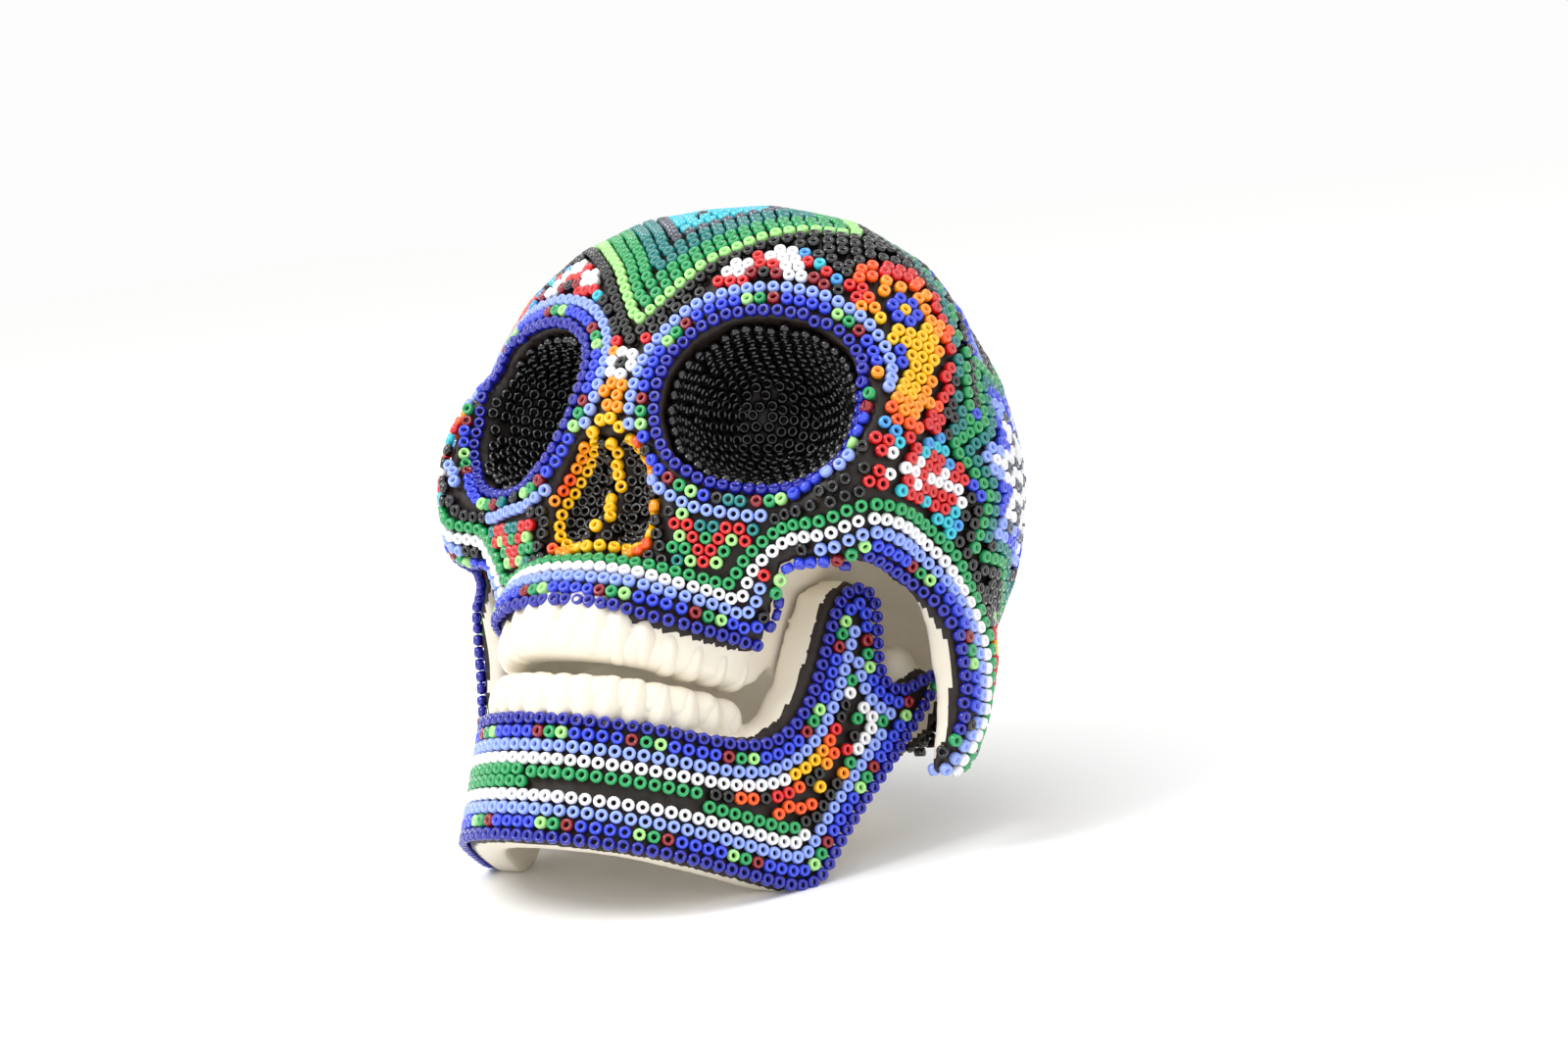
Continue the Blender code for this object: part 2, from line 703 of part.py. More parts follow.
COLOURS = {
    "cranium_casting": (0.80, 0.75, 0.65),
    "mandible_casting": (0.80, 0.75, 0.65),
    "cranium_wax": (0.30, 0.20, 0.11),
    "mandible_wax": (0.30, 0.20, 0.11),
    "orbit_lining": (0.01, 0.01, 0.012),
    "orbit_ring": (0.06, 0.07, 0.50),
    "nose_lining": (0.012, 0.01, 0.01),
    "nose_ring": (0.90, 0.50, 0.02),
    "upper_edge_border": (0.10, 0.15, 0.60),
    "glabella_flower": (0.85, 0.85, 0.85),
    "crown_diamond": (0.08, 0.45, 0.50),
    "brow_flower": (0.65, 0.06, 0.06),
    "temple_flame": (0.90, 0.30, 0.02),
    "side_star": (0.16, 0.22, 0.65),
    "zigzag": (0.70, 0.05, 0.05),
    "low_flower": (0.70, 0.06, 0.04),
    "cheek_motif": (0.10, 0.40, 0.20),
    "nape_motif": (0.08, 0.40, 0.50),
    "ground_beads": (0.012, 0.012, 0.014),
    "forehead_ground": (0.012, 0.012, 0.014),
    "jaw_border_upper": (0.10, 0.15, 0.60),
    "jaw_border_lower": (0.10, 0.15, 0.60),
    "jaw_field": (0.02, 0.02, 0.02),
}

FORM = cranium_form()
CRANIUM = [cranium_casting(FORM), cranium_coat(FORM, "cranium_wax", WAX_IN, WAX_OUT)]
CRANIUM += cranium_fields(cranium_coat(FORM, "cranium_beads", BEAD_IN, BEAD_OUT))
MANDIBLE = [mandible_casting(), mandible_coat("mandible_wax", WAX_IN, WAX_OUT)]
MANDIBLE += mandible_fields(mandible_coat("mandible_beads", BEAD_IN, BEAD_OUT))

SKULL_REST = empty("skull_rest", (0.0, REST_Y, REST_HEIGHT))
SKULL_REST.rotation_euler = (radians(-PITCH), 0.0, 0.0)
JAW_PIVOT = empty("jaw_pivot", JAW_AXIS, SKULL_REST)
for piece in CRANIUM:
    hung(piece, SKULL_REST)
for piece in MANDIBLE:
    hung(piece, JAW_PIVOT, JAW_AXIS)
for piece in CRANIUM + MANDIBLE:
    family = piece.name.removesuffix("_left").removesuffix("_right")
    painted(piece, COLOURS[family], 0.5 if "beads" in family or "casting" in family else 0.35)
bpy.context.view_layer.update()
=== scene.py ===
# %% [markdown]
# # A beaded skull with a loose jaw
# Two resin castings carry a thin coat of wax, and thousands of glass seed beads are pressed into
# the wax, holes outwards. This script lays the beads the way a beader does: first the rows that
# follow an edge, then the motifs, and then whatever fills the gaps, each bead against two others.
# Geometry Nodes turns every laid point into a bead.

# %% Load the CAD frame
import math
import random

import bmesh
import bpy
import numpy as np
from mathutils import Matrix, Vector
from mathutils.bvhtree import BVHTree


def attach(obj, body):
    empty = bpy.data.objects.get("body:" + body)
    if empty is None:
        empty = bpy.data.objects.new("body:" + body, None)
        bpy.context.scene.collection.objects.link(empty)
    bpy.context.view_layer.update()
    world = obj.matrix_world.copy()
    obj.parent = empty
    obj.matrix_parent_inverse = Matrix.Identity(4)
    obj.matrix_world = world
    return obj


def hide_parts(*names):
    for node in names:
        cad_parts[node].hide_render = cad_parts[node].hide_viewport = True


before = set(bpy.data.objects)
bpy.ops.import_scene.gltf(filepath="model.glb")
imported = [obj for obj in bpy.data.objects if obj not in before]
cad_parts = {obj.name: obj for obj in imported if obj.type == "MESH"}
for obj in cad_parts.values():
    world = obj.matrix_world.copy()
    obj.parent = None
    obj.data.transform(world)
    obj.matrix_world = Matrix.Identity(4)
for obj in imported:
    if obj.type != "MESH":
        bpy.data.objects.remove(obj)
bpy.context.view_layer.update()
print("CAD nodes:", len(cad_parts))

# %% [markdown]
# ## Sizes
# Lengths are in millimetres, in the skull's own frame: the origin is midway between the eye
# sockets, +X is the skull's left, -Y its front, +Z its top. REST tips it back as it stands.

# %% Sizes
MM = 0.001
BEAD_WIDTH = 2.12           # outside diameter of a seed bead
BEAD_HOLE = 0.72
BEAD_LENGTH = 1.5
PITCH = 2.1                 # spacing along a row
ROW = 2.05                  # spacing between rows
SEAT = 1.0                  # height of a bead's middle above the wax
FINE = 0.8                  # spacing of the points that carry a line from row to row
CELL = 2.2                  # side of a search cell, just over one pitch
ON_WAX = 0.42               # a skin face nearer than this to the wax solid is wax
REST_Y, REST_HEIGHT = -12.05, 73.3
REST = Matrix.Translation((0, REST_Y, REST_HEIGHT)) @ Matrix.Rotation(math.radians(-25), 4, "X")
TO_SKULL = REST.inverted() @ Matrix.Scale(1000.0, 4)
TO_WORLD = Matrix.Scale(MM, 4) @ REST
random.seed(7)


# %% [markdown]
# ## Materials
# Colours are written as sRGB hex, as a colour picker shows them, and made linear here. A seed bead
# is opaque glass: a strong colour under a clear, sharp gloss, with faint waves from its drawing.
# Vertex colours could carry all the shades in one material. One material for each glass is used,
# because its colour then sits on the shader's own socket and needs no baking when it is exported.

# %% Colour and node helpers
def linear(hex_colour):
    """An sRGB hex colour as the linear RGBA that shaders expect."""
    parts = [int(hex_colour[i:i + 2], 16) / 255 for i in (0, 2, 4)]
    return [c / 12.92 if c <= 0.04045 else ((c + 0.055) / 1.055) ** 2.4 for c in parts] + [1.0]


def add(tree, kind, inputs=None, **settings):
    """Adds a node, sets its properties, and links or sets each named input."""
    node = tree.nodes.new(kind)
    for name, value in settings.items():
        setattr(node, name, value)
    for name, value in (inputs or {}).items():
        if isinstance(value, bpy.types.NodeSocket):
            tree.links.new(value, node.inputs[name])
        else:
            node.inputs[name].default_value = value
    return node


def material(name, hex_colour, roughness, **values):
    """A Principled material with a uniform colour; returns it, its tree and its shader."""
    made = bpy.data.materials.new(name)
    made.use_nodes = True
    shader = made.node_tree.nodes["Principled BSDF"]
    shader.inputs["Base Color"].default_value = linear(hex_colour)
    shader.inputs["Roughness"].default_value = roughness
    for socket, value in values.items():
        shader.inputs[socket.replace("_", " ")].default_value = value
    return made, made.node_tree, shader


def uneven(tree, shader, waves_mm, height_mm, rough_low, rough_high):
    """Breaks up a surface: bumps of this width and height, and a roughness that wanders."""
    place = add(tree, "ShaderNodeTexCoord")
    noise = add(tree, "ShaderNodeTexNoise", {
        "Vector": place.outputs["Object"], "Scale": 1000.0 / waves_mm, "Detail": 4.0})
    bump = add(tree, "ShaderNodeBump", {
        "Height": noise.outputs["Fac"], "Distance": height_mm * MM, "Strength": 0.6})
    spread = add(tree, "ShaderNodeMapRange", {
        "Value": noise.outputs["Fac"], "From Min": 0.3, "From Max": 0.7,
        "To Min": rough_low, "To Max": rough_high})
    tree.links.new(bump.outputs["Normal"], shader.inputs["Normal"])
    tree.links.new(spread.outputs["Result"], shader.inputs["Roughness"])


# %% Glass beads, one material for each colour of glass
GLASS = {
    "cobalt": "1B1FA0",      # deep royal blue of the outermost rows
    "blue": "2F45DC",        # mid blue
    "light": "93ABF7",       # light periwinkle
    "white": "F4F4F6",       # chalk white
    "green": "1FA05A",       # emerald
    "pale": "A9E88A",        # pale yellow-green
    "garnet": "8E0F1C",      # dark red accents
    "black": "070708",       # jet
    "hematite": "565B66",    # metallic grey
    "teal": "0E7F7C",        # blue-green
    "cyan": "2FC3D6",        # turquoise
    "sky": "3F9BE0",         # sky blue
    "yellow": "FFC400",      # egg yolk
    "amber": "FF9A08",       # between yellow and orange
    "orange": "FF5A10",      # bright orange
    "red": "D8141A",         # signal red
}
COLOURS = list(GLASS)
BEADS = []
for name, hex_colour in GLASS.items():
    glass, tree, shader = material(f"glass bead {name}", hex_colour, 0.14,
                                   Coat_Weight=0.5, Coat_Roughness=0.05, IOR=1.52)
    if name == "hematite":
        shader.inputs["Metallic"].default_value = 0.7
    uneven(tree, shader, 1.2, 0.03, 0.08, 0.22)
    BEADS.append(glass)
print("glass colours:", len(BEADS))

# %% Resin and wax
# Cast resin: warm ivory, satin, a little light passes through, with tiny pits from the mould.
RESIN, tree, shader = material("cast resin, ivory", "E9E0CE", 0.42, Subsurface_Weight=0.25,
                               Subsurface_Scale=0.002, IOR=1.5)
shader.inputs["Subsurface Radius"].default_value = (1.0, 0.7, 0.45)
uneven(tree, shader, 2.6, 0.10, 0.34, 0.55)
# Beeswax with pine resin, seen only in the gaps between beads. Its nearly black brown is painted
# shade: the gaps are dark with shade, not with the wax's own colour.
WAX_WITH_PAINTED_SHADE, tree, shader = material("beeswax, painted dark as gap shade", "221812", 0.5, IOR=1.44)
uneven(tree, shader, 1.6, 0.12, 0.4, 0.65)


# %% [markdown]
# ## One smooth surface under the beads
# The real castings are smooth, with a thin coat of wax over most of them. The CAD solids are
# faceted. Subdivision would keep their loose triangles, so a voxel remesh melts a casting and its
# wax into one skin instead. Smoothing rounds the facets off, faces that lie on the wax become the
# wax piece, and the rest is resin.

# %% Smooth the castings
def cad_copy(*names):
    """One merged mesh of copies of CAD nodes, in world metres."""
    bm = bmesh.new()
    for name in names:
        bm.from_mesh(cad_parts[name].data)
    bmesh.ops.remove_doubles(bm, verts=bm.verts, dist=1e-6)
    mesh = bpy.data.meshes.new("copy")
    bm.to_mesh(mesh)
    bm.free()
    return mesh


def add_object(name, mesh):
    """An object of this mesh, in the scene."""
    obj = bpy.data.objects.new(name, mesh)
    bpy.context.scene.collection.objects.link(obj)
    return obj


def applied(obj):
    """The object's mesh with its modifiers applied, and the object gone."""
    graph = bpy.context.evaluated_depsgraph_get()
    mesh = bpy.data.meshes.new_from_object(obj.evaluated_get(graph))
    bpy.data.objects.remove(obj)
    return mesh


def melted(mesh, voxel_mm, rounds):
    """The mesh as one closed skin of small quads, smoothed this many times."""
    obj = add_object("melting", mesh)
    remesh = obj.modifiers.new("melt", "REMESH")
    remesh.mode = "VOXEL"
    remesh.voxel_size = voxel_mm * MM
    soften = obj.modifiers.new("soften", "SMOOTH")
    soften.factor = 0.5
    soften.iterations = rounds
    return applied(obj)


def tree_of(mesh):
    """A search tree over a mesh, in the skull's frame."""
    points = [TO_SKULL @ v.co for v in mesh.vertices]
    return BVHTree.FromPolygons(points, [tuple(p.vertices) for p in mesh.polygons])


CRANIUM_SKIN = melted(cad_copy("cranium_casting", "cranium_wax"), 0.85, 8)
JAW_SKIN = melted(cad_copy("mandible_casting", "mandible_wax"), 0.7, 3)
CRANIUM_WAX_TREE = tree_of(cad_copy("cranium_wax"))
JAW_WAX_TREE = tree_of(cad_copy("mandible_wax"))
print("skin faces:", len(CRANIUM_SKIN.polygons), len(JAW_SKIN.polygons))


# %% Split each skin into wax and resin
def split(mesh, wax_tree, reach):
    """Copies of the mesh's faces that lie on the wax, and of the others."""
    on_wax = []
    for face in mesh.polygons:
        distance = wax_tree.find_nearest(TO_SKULL @ face.center)[3]
        on_wax.append(distance < reach)
    halves = []
    for wanted in (True, False):
        bm = bmesh.new()
        bm.from_mesh(mesh)
        others = [f for f in bm.faces if on_wax[f.index] != wanted]
        bmesh.ops.delete(bm, geom=others, context="FACES")
        half = bpy.data.meshes.new("half")
        for face in bm.faces:
            face.smooth = True
        bm.to_mesh(half)
        bm.free()
        halves.append(half)
    return halves


def piece(name, mesh, body, nodes, materials=()):
    """Makes a finished mesh a piece that rides on a body and stands for CAD nodes."""
    obj = add_object(name, mesh)
    for made in materials:
        mesh.materials.append(made)
    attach(obj, body)
    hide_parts(*nodes)
    return obj


for skin, wax_tree, body in ((CRANIUM_SKIN, CRANIUM_WAX_TREE, "cranium"),
                             (JAW_SKIN, JAW_WAX_TREE, "mandible")):
    wax, resin = split(skin, wax_tree, ON_WAX)
    piece(f"{body}_wax_coat", wax, body, [f"{body}_wax"], [WAX_WITH_PAINTED_SHADE])
    piece(f"{body}_resin", resin, body, [f"{body}_casting"], [RESIN])
    print(body, "wax", len(wax.polygons), "resin", len(resin.polygons))


# %% [markdown]
# ## Teeth
# The teeth are cast in one with each bone, so they are soft-edged and run together at the gums.
# They could be sculpted one by one. Here each crown is a superellipsoid, a ball that its power
# makes boxier. Sixteen stand side by side along the arcade, and a fine remesh joins them where
# they touch, as the casting does.

# %% Teeth
def smooth_line(points, steps):
    """A Catmull-Rom curve through the points."""
    line = []
    ends = [points[0]] + list(points) + [points[-1]]
    for a, b, c, d in zip(ends, ends[1:], ends[2:], ends[3:]):
        a, b, c, d = Vector(a), Vector(b), Vector(c), Vector(d)
        for k in range(steps):
            t = k / steps
            line.append(0.5 * (2 * b + (c - a) * t + (2 * a - 5 * b + 4 * c - d) * t * t
                               + (3 * b - a - 3 * c + d) * t ** 3))
    return line + [Vector(points[-1])]


ARCADE = smooth_line([(0.0, -12.3), (5.0, -11.8), (10.0, -10.0), (14.6, -6.9), (18.4, -2.6),
                      (21.0, 3.0), (22.2, 10.5)], 8)
# Width along the arcade, half thickness, gum line, and the two tips, from the middle backwards.
CROWNS = [
    (4.9, 2.5, -33.6, -42.3, -45.2),
    (4.0, 2.5, -33.9, -42.6, -45.1),
    (4.3, 3.0, -34.6, -43.4, -44.9),
    (4.2, 3.2, -35.6, -43.3, -44.8),
    (4.2, 3.5, -36.4, -43.7, -44.9),
    (4.9, 3.9, -36.8, -43.9, -44.9),
    (4.8, 4.0, -37.0, -43.8, -45.0),
    (4.4, 3.9, -37.0, -43.8, -45.1),
]
LOWER_ROOT = -53.2          # the lower crowns start this low, inside the jaw
BITE = -44.0                # a crown that ends above this is an upper one
BOXY = 2.7                  # 2 is a ball, more is boxier


def place_on(line, distance):
    """The point and the direction this far along a line."""
    for a, b in zip(line, line[1:]):
        step = (b - a).length
        if distance <= step:
            return a.lerp(b, distance / step), (b - a).normalized()
        distance -= step
    return line[-1], (line[-1] - line[-2]).normalized()


def crown(bm, side, at, along, width, thick, low, high):
    """Adds one tooth: boxy at the biting edge, narrower at the neck, with a shallow groove."""
    made = bmesh.ops.create_uvsphere(bm, u_segments=24, v_segments=18, radius=1.0)
    yaw = math.atan2(along.y, along.x) * side
    inward = Vector((-along.y * side, along.x))
    centre = Vector((at.x * side, at.y)) + inward * thick
    middle, half = (low + high) / 2, abs(high - low) / 2
    lean = random.uniform(-0.06, 0.06)
    for vert in made["verts"]:
        x, y, z = vert.co
        size = (abs(x) ** BOXY + abs(y) ** BOXY + abs(z) ** BOXY) ** (1 / BOXY)
        x, y, z = x / size, y / size, z / size
        neck = 1.0 - 0.10 * max(0.0, -z if low < high and high < BITE else z)
        groove = 0.05 * math.cos(x * 7.0) if y < 0 else 0.0
        px, py = x * width * 0.51 * neck, y * thick * (neck + groove)
        pz = middle + z * half
        px += lean * (pz - middle)
        vert.co = (centre.x + px * math.cos(yaw) - py * math.sin(yaw),
                   centre.y + px * math.sin(yaw) + py * math.cos(yaw), pz)


def tooth_piece(name, body, upper):
    """Stands the crowns of one jaw along the arcade and makes them one piece."""
    bm = bmesh.new()
    for side in (-1, 1):
        along_line = 0.0
        for width, thick, gum, upper_tip, lower_tip in CROWNS:
            at, along = place_on(ARCADE, along_line + width / 2)
            along_line += width
            jitter = random.uniform(-0.15, 0.15)
            low, high = LOWER_ROOT, lower_tip - abs(jitter)
            if upper:
                low, high = upper_tip + jitter, gum + 1.2
            crown(bm, side, at, along, width, thick, low, high)
    bmesh.ops.transform(bm, matrix=TO_WORLD, verts=bm.verts)
    mesh = bpy.data.meshes.new(name)
    bm.to_mesh(mesh)
    bm.free()
    mesh = melted(mesh, 0.33, 2)
    mesh.polygons.foreach_set("use_smooth", [True] * len(mesh.polygons))
    piece(name, mesh, body, [f"{body}_casting"], [RESIN])
    print(name, len(mesh.polygons), "faces")


tooth_piece("upper_teeth", "cranium", True)
tooth_piece("lower_teeth", "mandible", False)


# %% [markdown]
# ## Laying beads
# On the real skull each bead is pressed into soft wax, against the ones already there. Scattering
# points at random would never give its rows. So a Beadwork holds what has been laid: its surface
# puts any point onto the wax, and a grid of cells finds the beads near a point quickly, so that no
# bead is laid on top of another.

# %% Beadwork
class Beadwork:
    """The beads laid on one casting."""

    def __init__(self, project, beaded):
        self.project = project      # point -> point on the wax, outward normal
        self.beaded = beaded        # point -> whether the wax reaches here
        self.points, self.normals, self.colours, self.fields = [], [], [], []
        self.cells = {}
        self.fences = {}            # edge bead -> the direction in which the wax ends

    def cell(self, point):
        """The search cell a point is in."""
        return tuple(int(math.floor(c / CELL)) for c in point)

    def near(self, point, reach):
        """The beads within reach of a point."""
        a, b, c = self.cell(point)
        span = int(math.ceil(reach / CELL))
        found = []
        for i in range(a - span, a + span + 1):
            for j in range(b - span, b + span + 1):
                for k in range(c - span, c + span + 1):
                    for index in self.cells.get((i, j, k), ()):
                        if (self.points[index] - point).length < reach:
                            found.append(index)
        return found

    def lay(self, point, normal, colour, field, room=0.84):
        """Lays one bead if there is room for it."""
        if self.near(point, room * PITCH) or not self.beaded(point):
            return False
        self.cells.setdefault(self.cell(point), []).append(len(self.points))
        self.points.append(point)
        self.normals.append(normal)
        self.colours.append(COLOURS.index(colour))
        self.fields.append(field)
        return True


# %% The cranium's surface
def surface_of(mesh):
    """A function that puts a point onto a mesh and gives the smooth normal there."""
    points = [TO_SKULL @ v.co for v in mesh.vertices]
    turn = TO_SKULL.to_3x3().normalized()
    normals = [turn @ v.normal for v in mesh.vertices]
    faces = [tuple(p.vertices) for p in mesh.polygons]
    search = BVHTree.FromPolygons(points, faces)

    def project(point):
        place, _, index, _ = search.find_nearest(point)
        normal = sum((normals[i] for i in faces[index]), Vector()).normalized()
        return place, normal
    return project, search


def fenced(work, place):
    """Whether this place lies outside the edge rows."""
    for index in work.near(place, 1.7 * PITCH):
        if index in work.fences and (place - work.points[index]).dot(work.fences[index]) > 0.6:
            return True
    return False


def over_wax(tree, reach):
    """A test of whether a point is this near the wax."""
    return lambda point: tree.find_nearest(point)[3] < reach


project_cranium, CRANIUM_TREE = surface_of(CRANIUM_SKIN)
CRANIUM = Beadwork(project_cranium, over_wax(CRANIUM_WAX_TREE, 0.75))
print("cranium surface ready:", len(CRANIUM_SKIN.vertices), "points")


# %% [markdown]
# ## Rows
# A row is a line on the surface. The next row is the same line moved one bead sideways and put
# back on the surface; where a line turns inwards its points crowd, and the crowded ones go. A
# curve offset could do this on a flat sheet, but not on a skull, which curves both ways.

# %% Rows
def resampled(line, spacing, closed):
    """The line with points at an even spacing."""
    ring = list(line) + ([line[0]] if closed else [])
    lengths = [0.0]
    for a, b in zip(ring, ring[1:]):
        lengths.append(lengths[-1] + (b - a).length)
    count = max(3, round(lengths[-1] / spacing))
    result, j = [], 0
    for i in range(count if closed else count + 1):
        want = lengths[-1] * i / count
        while j < len(lengths) - 2 and lengths[j + 1] < want:
            j += 1
        span = max(lengths[j + 1] - lengths[j], 1e-9)
        result.append(ring[j].lerp(ring[j + 1], min(1.0, (want - lengths[j]) / span)))
    return result


def next_row(line, step, project, closed):
    """The line one step to its left, as seen from outside, on the surface."""
    count = len(line)
    moved = []
    for i, here in enumerate(line):
        back = line[i - 1] if closed or i else here
        on = line[(i + 1) % count] if closed or i < count - 1 else here
        place, normal = project(here)
        sideways = normal.cross(on - back).normalized()
        moved.append(project(place + sideways * step)[0])
    old = np.array([tuple(p) for p in line])
    kept = []
    for point in moved:
        away = np.sqrt(((old - np.array(tuple(point))) ** 2).sum(axis=1)).min()
        if away > abs(step) * 0.92:
            kept.append(point)
    if len(kept) < 6:
        return []
    kept = resampled(kept, FINE, closed)
    for _ in range(2):
        smooth = list(kept)
        for i in range(0 if closed else 1, len(kept) - (0 if closed else 1)):
            smooth[i] = (kept[i - 1] + kept[i] * 2 + kept[(i + 1) % len(kept)]) / 4
        kept = smooth
    return kept


def away_from(centre, line, project):
    """The sign of a step that takes a ring away from this point."""
    grown = next_row(line, 1.0, project, True)
    spread = [sum((p - centre).length for p in ring) / len(ring) for ring in (line, grown)]
    return 1 if spread[1] > spread[0] else -1


# %% Laying rows
def lay_row(work, line, colour_at, field, closed=False, inward=0.0):
    """Lays a row; colour_at is a colour, or makes one from a number; inward makes it a fence."""
    row = resampled(line, PITCH, closed)
    for i, point in enumerate(row):
        place, normal = work.project(point)
        colour = colour_at(i) if callable(colour_at) else colour_at
        if work.lay(place, normal, colour, field) and inward:
            back = row[i - 1] if closed or i else point
            on = row[(i + 1) % len(row)] if closed or i < len(row) - 1 else point
            outward = normal.cross(on - back).normalized() * math.copysign(1.0, -inward)
            work.fences[len(work.points) - 1] = outward


def accents(i):
    """Mid blue, with a garnet, a green and a pale bead after every four."""
    return ("garnet", "green", "pale", "blue", "blue", "blue", "blue")[i % 7]


BORDER = ["cobalt", accents, "light", "white", "green"]


def lay_rows(work, line, colours, field, closed=False, step=ROW, fence=False):
    """Lays rows side by side; with fence, nothing is filled in beyond the first."""
    for k, colour in enumerate(colours):
        if not line:
            break
        lay_row(work, line, colour, field, closed, step if fence and k == 0 else 0.0)
        line = next_row(line, step, work.project, closed)


# %% [markdown]
# ## The border along the gums, the cheekbones and the jaw's recess
# Five rows follow the cranium's lower edge: cobalt, mid blue with accents, periwinkle, white and
# green. The edge is drawn from the side. On the front of the face a ray looks for it from ahead,
# and further back from the side.

# %% Upper edge
EDGE = smooth_line([(-13.0, -33.4), (-9.0, -35.0), (-4.0, -36.2), (3.0, -36.5), (7.9, -36.2),
                    (8.0, -33.2), (5.0, -28.0), (3.6, -24.6), (7.0, -21.9), (13.0, -21.9),
                    (20.0, -24.6), (25.1, -30.0), (28.7, -36.8), (30.3, -43.9), (30.6, -49.2),
                    (32.4, -51.6)], 5)


def edge_height(y):
    """How high the edge is this far back."""
    for a, b in zip(EDGE, EDGE[1:]):
        if a.x <= y <= b.x:
            return a.y + (b.y - a.y) * (y - a.x) / (b.x - a.x)
    return EDGE[0].y


def edge_line(side):
    """The upper edge from the middle of the face backwards, on one side."""
    line = []
    for x in np.arange(0.0, 17.0, 1.0):
        y = -10.0
        for _ in range(4):
            ahead_of = Vector((side * x, -40, edge_height(y)))
            hit = CRANIUM_TREE.ray_cast(ahead_of, Vector((0, 1, 0)))[0]
            y = hit.y if hit else y
        line.append(Vector((side * x, y, edge_height(y))))
    for y, z in (tuple(p) for p in EDGE if p.x > line[-1].y + 1.0):
        hit = CRANIUM_TREE.ray_cast(Vector((side * 80, y, z)), Vector((-side, 0, 0)))[0]
        if hit and abs(hit.x) > 12:
            line.append(hit)
    return line


left_edge, right_edge = edge_line(1), edge_line(-1)
border = resampled(right_edge[:0:-1] + left_edge, FINE, False)
middle = len(border) // 2
raised = next_row(border, 1.0, CRANIUM.project, False)
upward = ROW if raised[len(raised) // 2].z > border[middle].z else -ROW
lay_rows(CRANIUM, border, BORDER, "upper_edge_border", False, upward, True)
print("upper border beads:", len(CRANIUM.points))


# %% [markdown]
# ## Eye sockets and nose
# The sockets are lined with black beads and rimmed by three rows, and the nose has a yellow ring.
# Rings go outwards from the rim, and black rows follow one another down inside it.

# %% Frames and outlines on the surface
def facing(origin, normal, side=1):
    """A frame on the surface: Z is the normal, Y as near to up as it can be, X points aside."""
    w = Vector((normal[0] * side, normal[1], normal[2])).normalized()
    u = Vector((0, 0, 1)).cross(w).normalized()
    v = w.cross(u)
    made = Matrix((u * side, v, w)).transposed().to_4x4()
    made.translation = (origin[0] * side, origin[1], origin[2])
    return made


def shape_on(place, outline, project, height=6.0):
    """An outline drawn in a frame, dropped along the frame's Z onto the surface."""
    down = -(place.to_3x3() @ Vector((0, 0, 1)))
    line = []
    for u, v in outline:
        start = place @ Vector((u, v, height))
        hit = CRANIUM_TREE.ray_cast(start, down)[0]
        line.append(hit if hit else project(start)[0])
    return line


def oval(a, b, power, count=60):
    """The points of an oval; a power over 2 squares it off."""
    points = []
    for i in range(count):
        c, s = math.cos(2 * math.pi * i / count), math.sin(2 * math.pi * i / count)
        size = (abs(c) ** power + abs(s) ** power) ** (1 / power)
        points.append((a * c / size, b * s / size))
    return points


# %% Eye sockets
YAW = math.radians(25)
SOCKET_CENTRE, SOCKET_NORMAL = (23.3, 0.4, 0.0), (math.sin(YAW), -math.cos(YAW), 0.0)
SOCKET_POWER = 2.3
SIDES = ((1, "left"), (-1, "right"))
for side, letter in SIDES:
    place = facing(SOCKET_CENTRE, SOCKET_NORMAL, side)
    rim = shape_on(place, oval(16.6, 14.8, SOCKET_POWER), CRANIUM.project, 14)
    rim = resampled(rim, FINE, True)
    outward = ROW * away_from(place.translation, rim, CRANIUM.project)
    lay_rows(CRANIUM, rim, ["cobalt", accents, "light"], f"orbit_ring_{letter}", True, outward)
    line = next_row(rim, -0.88 * outward, CRANIUM.project, True)
    lay_rows(CRANIUM, line, ["black"] * 7, f"orbit_lining_{letter}", True, -outward)
    print("orbit", letter, len(CRANIUM.points))

# %% Nose
NOSE_PLACE = facing((0.0, -8.6, -15.4), (0.0, -1.0, 0.0))
NOSE_INVERSE = NOSE_PLACE.inverted()
NOSE = [tuple(p) for p in smooth_line([
    (0.0, 11.0), (-3.8, 8.6), (-7.2, 3.6), (-9.6, -2.6), (-9.0, -7.0), (-4.8, -9.3), (0.0, -8.8),
    (4.8, -9.3), (9.0, -7.0), (9.6, -2.6), (7.2, 3.6), (3.8, 8.6), (0.0, 11.0)], 4)][:-1]
NOSE.reverse()
aperture = shape_on(NOSE_PLACE, [(u * 1.05, v * 1.05) for u, v in NOSE], CRANIUM.project, 9)
aperture = resampled(aperture, FINE, True)
septum = [NOSE_PLACE @ Vector((0.3 * math.sin(v), v, 5)) for v in np.arange(10.0, -9.0, -1.0)]
septum = [hit for hit in (CRANIUM_TREE.ray_cast(p, Vector((0, 1, 0)))[0] for p in septum) if hit]
lay_row(CRANIUM, aperture, "yellow", "nose_ring", True)
lay_row(CRANIUM, septum, "yellow", "nose_lining")
outward = ROW * away_from(NOSE_PLACE.translation, aperture, CRANIUM.project)
outer = next_row(aperture, outward, CRANIUM.project, True)
lay_row(CRANIUM, outer, lambda i: ("amber", "amber", "orange", "orange", "amber")[i % 5],
        "nose_ring", True)
print("with the nose:", len(CRANIUM.points))


# %% [markdown]
# ## Motifs
# A flame, a star, flowers and zigzags stand out of the black ground. They could be drawn bead by
# bead on a chart. Here each motif has a frame on the surface and a rule for its colours. Its
# outline rows are laid first, then small flowers, and the filling asks each motif which colour
# belongs at a point. In every rule u goes across the motif and v up it.

